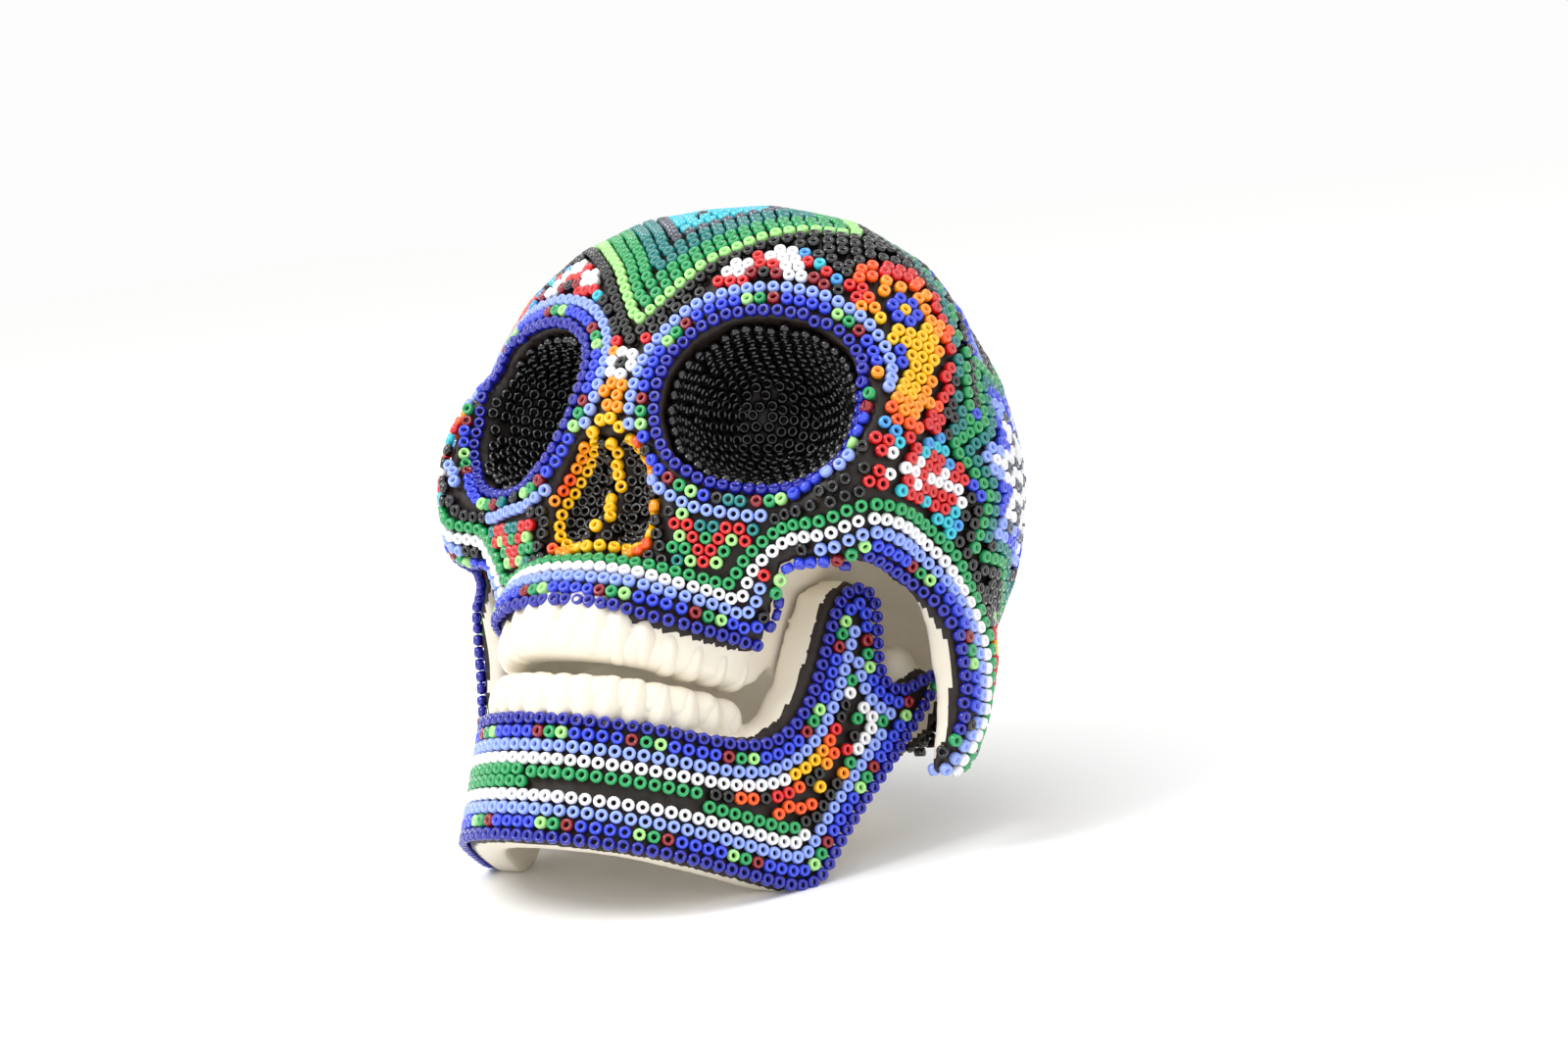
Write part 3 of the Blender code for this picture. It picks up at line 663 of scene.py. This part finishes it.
# %% Small flowers
def ring_flower(work, centre, petal, heart, field):
    """A bead with six round it."""
    place, normal = work.project(Vector(centre))
    aside = normal.orthogonal().normalized()
    work.lay(place, normal, heart, field, 0.6)
    for i in range(6):
        turn = Matrix.Rotation(math.radians(60 * i), 3, normal)
        point, facing_out = work.project(place + turn @ aside * PITCH)
        work.lay(point, facing_out, petal, field, 0.8)


# %% The flame and the star
def flame(u, v):
    """Yellow in the middle, through amber and orange to a ragged red edge."""
    r = math.hypot(u / 9.6, v / 16.2) + 0.05 * math.sin(9 * math.atan2(v, u))
    if r < 0.58:
        return "yellow"
    if r < 0.80:
        return "amber"
    return "orange" if r < 0.92 else "red"


def star(u, v):
    """Eight points: white flecked with grey, then periwinkle, then blue."""
    turn = math.atan2(v, u) * 4
    r = math.hypot(u, v) / (12.5 + 3.4 * math.cos(2 * turn))
    if r > 0.98:
        return "blue"
    if r > 0.80:
        return "light"
    return "hematite" if (round(u / PITCH) + 2 * round(v / PITCH)) % 4 == 0 else "white"


# %% The brow flower and the zigzag
def brow(u, v):
    """Red petals with white clusters, on turquoise and sky blue."""
    if math.hypot(u, v) < 1.2 or (abs(u) < 1.0 and v < 1.5):
        return "black"
    for x, y in ((-5.2, 1.2), (5.0, 1.6), (1.6, 4.4)):
        if math.hypot(u - x, v - y) < 2.3:
            return "white"
    if math.hypot(u / 11.0, v / 6.2) > 0.9:
        return "cyan" if (u + v) % 4 < 2 else "sky"
    return "garnet" if abs(v) < 1.2 else "red"


def zigzag(u, v):
    """A red zigzag with a white core."""
    wave = 3.2 * (2 * abs((u / 6.0 + v / 9.0) % 1.0 - 0.5) - 0.5)
    if abs(v - wave) < 1.3:
        return "white"
    if abs(v - wave) < 4.2:
        return "red"
    return "cyan" if (u + 2 * v) % 7 < 3.5 else "sky"


# %% The low flower and the cheek
def low_flower(u, v):
    """A red flower with three yellow marks and one turquoise bead."""
    if math.hypot(u / 7.6, v / 8.4) > 0.82:
        return "pale" if (u - v) % 5 < 2 else "hematite"
    if math.hypot(u, v - 0.5) < 1.1:
        return "cyan"
    if 1.6 < math.hypot(u, v) < 4.0 and math.sin(3 * math.atan2(v, u)) > 0.3:
        return "yellow"
    return "red"


def cheek(u, v):
    """A red wave edged in greens on black."""
    wave = 2.8 * math.sin(u * 0.75)
    away = abs(v + 1.0 - wave)
    if abs(u) > 7.5 or away > 5.6:
        return "black"
    if away < 1.3:
        return "red"
    if away < 2.7:
        return "pale"
    return "green" if away < 4.2 else "teal"


# %% The crown, the nape and the glabella
def crown_fill(u, v):
    """Turquoise with small black marks."""
    if (round(u / PITCH) % 5 == 0) and (round(v / PITCH) % 4 == 0):
        return "black"
    return "cyan" if v < 4 else "sky"


def nape(u, v):
    """Rings from yellow outwards to green."""
    r = math.hypot(u / 17.0, v / 12.0)
    bands = ("yellow", "orange", "red", "garnet", "black", "cyan", "teal", "green")
    return bands[min(7, int(r * 8))]


def glabella(u, v):
    """Red and orange above the small flower between the brows, and amber below it."""
    if v > 2.0:
        return "orange" if abs(u) < 1.5 else "red"
    return "amber"


# %% Motif places
def inside_oval(a, b):
    """A test of whether a point is inside an oval of these half widths."""
    return lambda u, v: math.hypot(u / a, v / b) < 1


def inside_zigzag(u, v):
    """The zigzag fills a square."""
    return abs(u) < 9.5 and abs(v + 2) < 9.5


def inside_diamond(u, v):
    """The diamond on the crown."""
    return abs(u) / 29.5 + abs(v + 12.4) / 26.2 < 1


# Motifs that both sides have: name, centre, normal, outline test and colour rule.
STAR_CENTRE, SIDEWAYS = (47.0, 43.0, -1.5), (1.0, 0.0, 0.0)
MOTIFS = [
    ("temple_flame", (41.0, 11.3, 12.6), (0.86, -0.44, 0.26), inside_oval(9.6, 16.2), flame),
    ("side_star", STAR_CENTRE, SIDEWAYS, inside_oval(19.5, 14.0), star),
    ("brow_flower", (19.6, 1.0, 21.6), (0.2, -0.86, 0.47), inside_oval(11.5, 6.6), brow),
    ("zigzag", (46.6, 13.4, -8.4), (1.0, -0.1, 0.0), inside_zigzag, zigzag),
    ("low_flower", (47.5, 41.0, -31.5), SIDEWAYS, inside_oval(7.6, 8.4), low_flower),
    ("cheek_motif", (21.5, -3.0, -22.6), (0.35, -0.92, -0.18), inside_oval(12.5, 11), cheek),
]
# Motifs on the middle line: name, frame, outline test and colour rule.
CROWN_PLACE = facing((0.0, 34.0, 20.0), (0.0, -0.42, 0.91))
NAPE_PLACE = facing((0.0, 60.0, 6.0), (0.0, 1.0, 0.0))
GLABELLA_PLACE = facing((0.0, -5.6, 5.6), (0.0, -0.97, 0.23))
MIDDLE_MOTIFS = [
    ("crown_diamond", CROWN_PLACE, inside_diamond, crown_fill),
    ("nape_motif", NAPE_PLACE, inside_oval(17, 12), nape),
    ("glabella_flower", GLABELLA_PLACE, inside_oval(4.4, 6.4), glabella),
]

# For each motif: its field's name, its inverse frame, its outline test and its colour rule.
TESTS = []
for name, origin, normal, within, colour in MOTIFS:
    for side, letter in SIDES:
        TESTS.append((f"{name}_{letter}", facing(origin, normal, side).inverted(), within, colour))
for name, place, within, colour in MIDDLE_MOTIFS:
    TESTS.append((name, place.inverted(), within, colour))
SOCKET_INVERSES = [(letter, facing(SOCKET_CENTRE, SOCKET_NORMAL, side).inverted())
                   for side, letter in SIDES]
print("motifs:", len(TESTS))

# %% Which colour belongs at a point
STRIPES = ("black", "teal", "green", "black", "blue", "light", "hematite")


def ground(point):
    """The colour of the ground between the motifs: black, striped behind the temples."""
    if 19.0 < point.y < 33.0 and point.z > -2.0 and abs(point.x) > 22:
        return STRIPES[int(point.y - 19) // 2 % 7]
    return "black"


def motif_at(point):
    """The field a point of the cranium belongs to, and its bead's colour."""
    for letter, inverse in SOCKET_INVERSES:
        u, v, w = inverse @ point
        if w < 4 and point.y < 24 and (
                abs(u / 15.6) ** SOCKET_POWER + abs(v / 13.8) ** SOCKET_POWER < 1):
            return f"orbit_lining_{letter}", "black"
    u, v, w = NOSE_INVERSE @ point
    if w < 3 and point.y < 8 and abs(u) < 8.5 and -9 < v < 9:
        return "nose_lining", "black"
    for field, inverse, within, colour in TESTS:
        u, v, w = inverse @ point
        if -12 < w < 30 and within(u, v):
            return field, colour(u, v)
    field = "ground_beads"
    if point.y < 3 and point.z > 4:
        field = "forehead_ground_left" if point.x > 0 else "forehead_ground_right"
    return field, ground(point)


# %% The diamond's rows
diamond = [(0.0, -38.6), (29.5, -12.4), (0.0, 13.8), (-29.5, -12.4)]
corners = [Vector(c) for c in diamond]
outline = [tuple(p) for p in resampled(corners, 1.0, True)]
line = resampled(shape_on(CROWN_PLACE, outline, CRANIUM.project, 40), FINE, True)
inward = -ROW * away_from(Vector((0, 28, 21)), line, CRANIUM.project)
lay_rows(CRANIUM, line, ["black", "pale", "green", "green", "teal", "teal", "hematite"],
         "crown_diamond", True, inward)
print("with the diamond:", len(CRANIUM.points))

# %% The star's rows and the small flowers
corners = []
for i in range(16):
    reach, turn = (22.0, 15.5)[i % 2], i * math.pi / 8
    corners.append(Vector((reach * math.cos(turn), reach * math.sin(turn))))
outline = [tuple(p) for p in resampled(corners, 1.0, True)]
for side, letter in SIDES:
    place = facing(STAR_CENTRE, SIDEWAYS, side)
    line = resampled(shape_on(place, outline, CRANIUM.project, 30), FINE, True)
    inward = -ROW * away_from(place.translation, line, CRANIUM.project)
    lay_rows(CRANIUM, line, ["green", "teal"], f"side_star_{letter}", True, inward)
    ring_flower(CRANIUM, (39.2 * side, 12.7, 18.2), "blue", "yellow", f"temple_flame_{letter}")
    ring_flower(CRANIUM, (40.0 * side, 9.0, 9.6), "blue", "yellow", f"temple_flame_{letter}")
ring_flower(CRANIUM, (0, -6.7, 5.5), "white", "black", "glabella_flower")
print("with the star and flowers:", len(CRANIUM.points))


# %% Straight rows inside the motifs
def patch(work, place, within, colour, field):
    """Lays a motif in straight rows, each bead between two of the row below."""
    for j in range(-12, 13):
        for i in range(-12, 13):
            u, v = (i + j % 2 / 2) * PITCH, j * PITCH * 0.87
            if within(u, v):
                spot, normal = work.project(place @ Vector((u, v, 0.0)))
                work.lay(spot, normal, colour(u, v), field, 0.86)


for name, origin, normal, within, colour in MOTIFS:
    for side, letter in SIDES:
        patch(CRANIUM, facing(origin, normal, side), within, colour, f"{name}_{letter}")
print("with the patches:", len(CRANIUM.points))


# %% [markdown]
# ## Filling
# Every laid bead asks for the two places where a new bead would touch it and a neighbour. A place
# that is clear is taken, and the new bead asks in its turn, so the beads close up like a honeycomb.

# %% Fill
def fill(work, colour_at, room, limit=9000):
    """Grows beads outwards from all that are laid, until none fits."""
    queue = list(range(len(work.points)))
    while queue and len(work.points) < limit:
        index = queue.pop(0)
        here, normal = work.points[index], work.normals[index]
        spots = []
        for other in work.near(here, 1.95 * PITCH):
            chord = work.points[other] - here
            span = chord.length
            if other == index or span < 0.5:
                continue
            rise = math.sqrt(max(PITCH * PITCH - span * span / 4, 0.3))
            across = normal.cross(chord).normalized() * rise
            spots += [here + chord / 2 + across, here + chord / 2 - across]
        for spot in spots:
            place, out = work.project(spot)
            if (place - spot).length > 0.9 or work.near(place, room * PITCH):
                continue
            if fenced(work, place):
                continue
            field, colour = colour_at(place)
            if work.lay(place, out, colour, field, room):
                queue.append(len(work.points) - 1)


fill(CRANIUM, motif_at, 0.92)
fill(CRANIUM, motif_at, 0.83)
print("cranium beads:", len(CRANIUM.points))

# %% [markdown]
# ## The jaw
# The jaw's five rows run all round its face, with a small black field between them on the branch.
# The face is a curved wall, the same at every height, so a point goes onto it by finding the
# nearest place on the wall's plan. That keeps the rows as even as on a flat sheet.

# %% The jaw's outlines
PLAN = smooth_line([(0.0, -12.2), (5.5, -11.8), (11.0, -10.0), (16.6, -6.4), (21.4, -1.2),
                    (26.0, 6.4), (30.0, 15.0), (33.4, 24.0), (36.2, 33.0), (38.2, 42.0)], 6)
JAW = [tuple(p) for p in smooth_line([
    (-12.2, -51.6), (-6.0, -51.6), (3.0, -51.6), (9.0, -50.6), (13.0, -47.0), (15.2, -41.0),
    (16.4, -32.0), (17.6, -26.0), (21.0, -23.0), (25.2, -24.6), (26.8, -31.0), (28.6, -36.6),
    (32.5, -36.8), (37.0, -33.4), (39.6, -33.4), (39.4, -36.8), (34.0, -47.0), (28.6, -56.8),
    (25.0, -64.0), (22.6, -69.8), (18.0, -72.6), (8.0, -72.2), (-2.0, -71.6), (-12.2, -71.6)], 2)]
WAX_DEPTH = 1.8             # from the beads' outer face in to the wax
JAW_SPLIT = -61.6           # below this height a border bead belongs to the lower border
JAW_FIELD = [(2, -61.9), (10, -62.8), (16.5, -63), (19.4, -61.8), (23.6, -53.5), (26.4, -46.8),
             (24, -44.6), (21.8, -40.5), (19.2, -46.5), (17, -51.5), (14.2, -56.5), (9.5, -59.6),
             (2, -60.6)]


def in_jaw_field(y, z):
    """Whether a place in the side view is inside the jaw's field."""
    inside = False
    for (ya, za), (yb, zb) in zip(JAW_FIELD, JAW_FIELD[1:] + JAW_FIELD[:1]):
        if (za > z) != (zb > z) and y < ya + (yb - ya) * (z - za) / (zb - za):
            inside = not inside
    return inside


# %% The jaw's surface
def on_jaw(point):
    """The nearest place on the jaw's wax at this height, and the outward normal."""
    side = -1 if point.x < 0 else 1
    flat = Vector((abs(point.x), point.y))
    best, place, normal = 1e9, None, None
    for a, b in zip(PLAN, PLAN[1:]):
        along = b - a
        t = min(1.0, max(0.0, (flat - a).dot(along) / along.length_squared))
        on = a + along * t
        if (flat - on).length < best:
            best, place = (flat - on).length, on
            normal = Vector((along.y, -along.x)).normalized()
    place = place - normal * WAX_DEPTH
    return Vector((side * place.x, place.y, point.z)), Vector((side * normal.x, normal.y, 0.0))


def jaw_width(y):
    """How far out the jaw's face stands this far back."""
    for a, b in zip(PLAN, PLAN[1:]):
        if a.y <= y <= b.y:
            return a.x + (b.x - a.x) * (y - a.y) / (b.y - a.y)
    return 0.0


# %% The jaw's rows
MANDIBLE = Beadwork(on_jaw, over_wax(JAW_WAX_TREE, 1.3))
left = [Vector((jaw_width(y), y, z)) for y, z in JAW]
right = [Vector((-p.x, p.y, p.z)) for p in reversed(left)]
loop = [on_jaw(p)[0] for p in resampled(left + right, 0.6, True)]
tried = next_row(loop, 1.0, on_jaw, True)
tallest = [max(p.z for p in ring) for ring in (loop, tried)]
inward = ROW if tallest[1] < tallest[0] else -ROW
line = next_row(loop, inward / 2, on_jaw, True)
for colour in BORDER:
    if line:
        row = resampled(line, PITCH, True)
        for i, point in enumerate(row):
            place, normal = on_jaw(point)
            shade = colour(i) if callable(colour) else colour
            low = place.z < JAW_SPLIT + max(0.0, place.y - 24)
            field = "jaw_border_lower" if low else "jaw_border_upper"
            if in_jaw_field(place.y, place.z) or not MANDIBLE.lay(place, normal, shade, field):
                continue
            if colour == "cobalt":
                along = row[(i + 1) % len(row)] - row[i - 1]
                outward = normal.cross(along).normalized() * math.copysign(1.0, -inward)
                MANDIBLE.fences[len(MANDIBLE.points) - 1] = outward
        line = next_row(line, inward, on_jaw, True)
print("jaw border beads:", len(MANDIBLE.points))


# %% The jaw's black field
def jaw_field(point):
    """The motif on the jaw's branch: a yellow ring flower on a stem from red to amber."""
    field = "jaw_field_left" if point.x > 0 else "jaw_field_right"
    y, z = point.y, point.z
    along = (y - 13.0) * 0.6 + (z + 61.0) * 0.8
    across = (y - 13.0) * 0.8 - (z + 61.0) * 0.6
    if not in_jaw_field(y, z):
        return field, "green"
    if y < 11.5:
        return field, "orange" if abs(y - 8.5) < 1.6 and z > -62.3 else "black"
    if abs(across - 0.8) > 3.1 or along < 0 or along > 17.5:
        return field, "black"
    if along < 4.0:
        return field, "red" if across < 0.8 else "orange"
    if along < 6.0:
        return field, "orange"
    if along < 11.0:
        return field, "black" if math.hypot(along - 8.4, across - 0.8) < 1.1 else "yellow"
    if along < 13.5:
        return field, "amber"
    return field, "orange" if along < 15.5 else "red"


fill(MANDIBLE, jaw_field, 0.92)
print("jaw beads:", len(MANDIBLE.points))

# %% [markdown]
# ## From points to beads
# A seed bead is a short glass tube with rounded ends. Thousands could be copied by the script, but
# Geometry Nodes is far quicker and keeps their sizes as named inputs. The tree sweeps an oval
# profile round a ring to make one bead, puts a copy on every point, turned to the point's normal,
# makes the copies real, and sets each colour's material.

# %% The Geometry Nodes tree
def bead_tree():
    """The tree that turns points with a normal and a colour number into beads."""
    tree = bpy.data.node_groups.new("seed beads", "GeometryNodeTree")
    face = tree.interface
    face.new_socket("Points", in_out="INPUT", socket_type="NodeSocketGeometry")
    for name in ("Width", "Hole", "Length"):
        face.new_socket(name, in_out="INPUT", socket_type="NodeSocketFloat")
    face.new_socket("Seed", in_out="INPUT", socket_type="NodeSocketInt")
    face.new_socket("Beads", in_out="OUTPUT", socket_type="NodeSocketGeometry")
    given = add(tree, "NodeGroupInput").outputs

    def calculate(operation, a, b):
        """A sum or a quotient of two values."""
        return add(tree, "ShaderNodeMath", {0: a, 1: b}, operation=operation).outputs[0]

    ring = calculate("DIVIDE", calculate("ADD", given["Width"], given["Hole"]), 4.0)
    wall = calculate("DIVIDE", calculate("SUBTRACT", given["Width"], given["Hole"]), 4.0)
    path = add(tree, "GeometryNodeCurvePrimitiveCircle", {"Resolution": 11, "Radius": ring})
    profile = add(tree, "GeometryNodeCurvePrimitiveCircle", {"Resolution": 6, "Radius": 1.0})
    half = calculate("DIVIDE", given["Length"], 2.0)
    size = add(tree, "ShaderNodeCombineXYZ", {"X": wall, "Y": half, "Z": 1.0})
    oval_profile = add(tree, "GeometryNodeTransform", {
        "Geometry": profile.outputs["Curve"], "Scale": size.outputs[0]})
    bead = add(tree, "GeometryNodeCurveToMesh", {
        "Curve": path.outputs["Curve"], "Profile Curve": oval_profile.outputs[0]})
    rounded = add(tree, "GeometryNodeSetShadeSmooth", {"Geometry": bead.outputs[0]})
    normal = add(tree, "GeometryNodeInputNamedAttribute", {"Name": "out"}, data_type="FLOAT_VECTOR")
    turn = add(tree, "FunctionNodeAlignRotationToVector", {"Vector": normal.outputs[0]}, axis="Z")
    vary = add(tree, "FunctionNodeRandomValue", {"Seed": given["Seed"]}, data_type="FLOAT")
    vary.inputs[2].default_value, vary.inputs[3].default_value = 0.95, 1.02
    copies = add(tree, "GeometryNodeInstanceOnPoints", {
        "Points": given["Points"], "Instance": rounded.outputs[0],
        "Rotation": turn.outputs[0], "Scale": vary.outputs[1]})
    flow = add(tree, "GeometryNodeRealizeInstances", {"Geometry": copies.outputs[0]}).outputs[0]
    index = add(tree, "GeometryNodeInputNamedAttribute", {"Name": "colour"}, data_type="INT")
    for k, glass in enumerate(BEADS):
        same = add(tree, "FunctionNodeCompare", data_type="INT", operation="EQUAL")
        tree.links.new(index.outputs[0], same.inputs[2])
        same.inputs[3].default_value = k
        flow = add(tree, "GeometryNodeSetMaterial", {
            "Geometry": flow, "Selection": same.outputs[0], "Material": glass}).outputs[0]
    add(tree, "NodeGroupOutput", {"Beads": flow})
    return tree


TREE = bead_tree()
INPUTS = {item.name: item.identifier for item in TREE.interface.items_tree}
print("nodes in the bead tree:", len(TREE.nodes))


# %% One piece for each field
def bead_piece(work, field, body):
    """Makes the beads of one field a mesh that stands for the field's CAD slab."""
    chosen = [i for i, name in enumerate(work.fields) if name == field]
    turn = TO_WORLD.to_3x3().normalized()
    mesh = bpy.data.meshes.new(field)
    mesh.from_pydata([TO_WORLD @ (work.points[i] + work.normals[i] * SEAT) for i in chosen], [], [])
    out = mesh.attributes.new("out", "FLOAT_VECTOR", "POINT")
    out.data.foreach_set("vector", [c for i in chosen for c in turn @ work.normals[i]])
    shade = mesh.attributes.new("colour", "INT", "POINT")
    shade.data.foreach_set("value", [work.colours[i] for i in chosen])
    obj = add_object(field, mesh)
    nodes = obj.modifiers.new("beads", "NODES")
    nodes.node_group = TREE
    nodes[INPUTS["Width"]] = BEAD_WIDTH * MM
    nodes[INPUTS["Hole"]] = BEAD_HOLE * MM
    nodes[INPUTS["Length"]] = BEAD_LENGTH * MM
    nodes[INPUTS["Seed"]] = 11
    piece(f"{field}_beads", applied(obj), body, [field])


for work, body in ((CRANIUM, "cranium"), (MANDIBLE, "mandible")):
    for field in sorted(set(work.fields)):
        bead_piece(work, field, body)
print("beads in all:", len(CRANIUM.points) + len(MANDIBLE.points))

# %% [markdown]
# ## Stage, light and camera
# A plain pale floor, a large soft key from the upper left, a broad fill, and a three-quarter view
# from the skull's left, a little above it. Small lamps would turn every bead's gloss into a spark.

# %% Floor and light
bpy.ops.mesh.primitive_plane_add(size=4.0, location=(0, 0, 0))
floor = bpy.context.object
paper, tree, shader = material("pale paper floor", "FEFEFD", 0.9)
floor.data.materials.append(paper)

world = bpy.data.worlds.new("studio")
world.use_nodes = True
world.node_tree.nodes["Background"].inputs["Color"].default_value = (1.0, 1.0, 1.0, 1.0)
world.node_tree.nodes["Background"].inputs["Strength"].default_value = 0.98
bpy.context.scene.world = world


def softbox(name, place, target, size, power):
    """A square area light of this size in metres and power in watts, turned to its target."""
    light = bpy.data.lights.new(name, "AREA")
    light.size = size
    light.energy = power
    lamp = bpy.data.objects.new(name, light)
    lamp.location = place
    lamp.rotation_euler = (Vector(target) - Vector(place)).to_track_quat("-Z", "Y").to_euler()
    bpy.context.scene.collection.objects.link(lamp)


softbox("key", (-0.25, -0.45, 0.65), (0, 0, 0.05), 0.35, 3.4)
softbox("fill", (0.7, -0.5, 0.35), (0, 0, 0.05), 0.6, 0.8)
softbox("top", (0.0, 0.1, 0.9), (0, 0, 0.0), 0.7, 1.2)

# %% Camera
camera = bpy.data.cameras.new("camera")
camera.sensor_width = 36.0
camera.lens = 70.0
camera.clip_start = 0.01
viewer = bpy.data.objects.new("camera", camera)
right = Vector((0.8160912, 0.56761499, -0.10866638))
up = Vector((0.00839064, 0.17637214, 0.9842878))
ahead = Vector((-0.57786223, 0.80418039, -0.1391731))
viewer.matrix_world = Matrix((right, up, -ahead)).transposed().to_4x4()
viewer.location = (0.296807, -0.389667, 0.119765)
bpy.context.scene.collection.objects.link(viewer)
bpy.context.scene.camera = viewer
bpy.context.scene.view_settings.view_transform = "Standard"
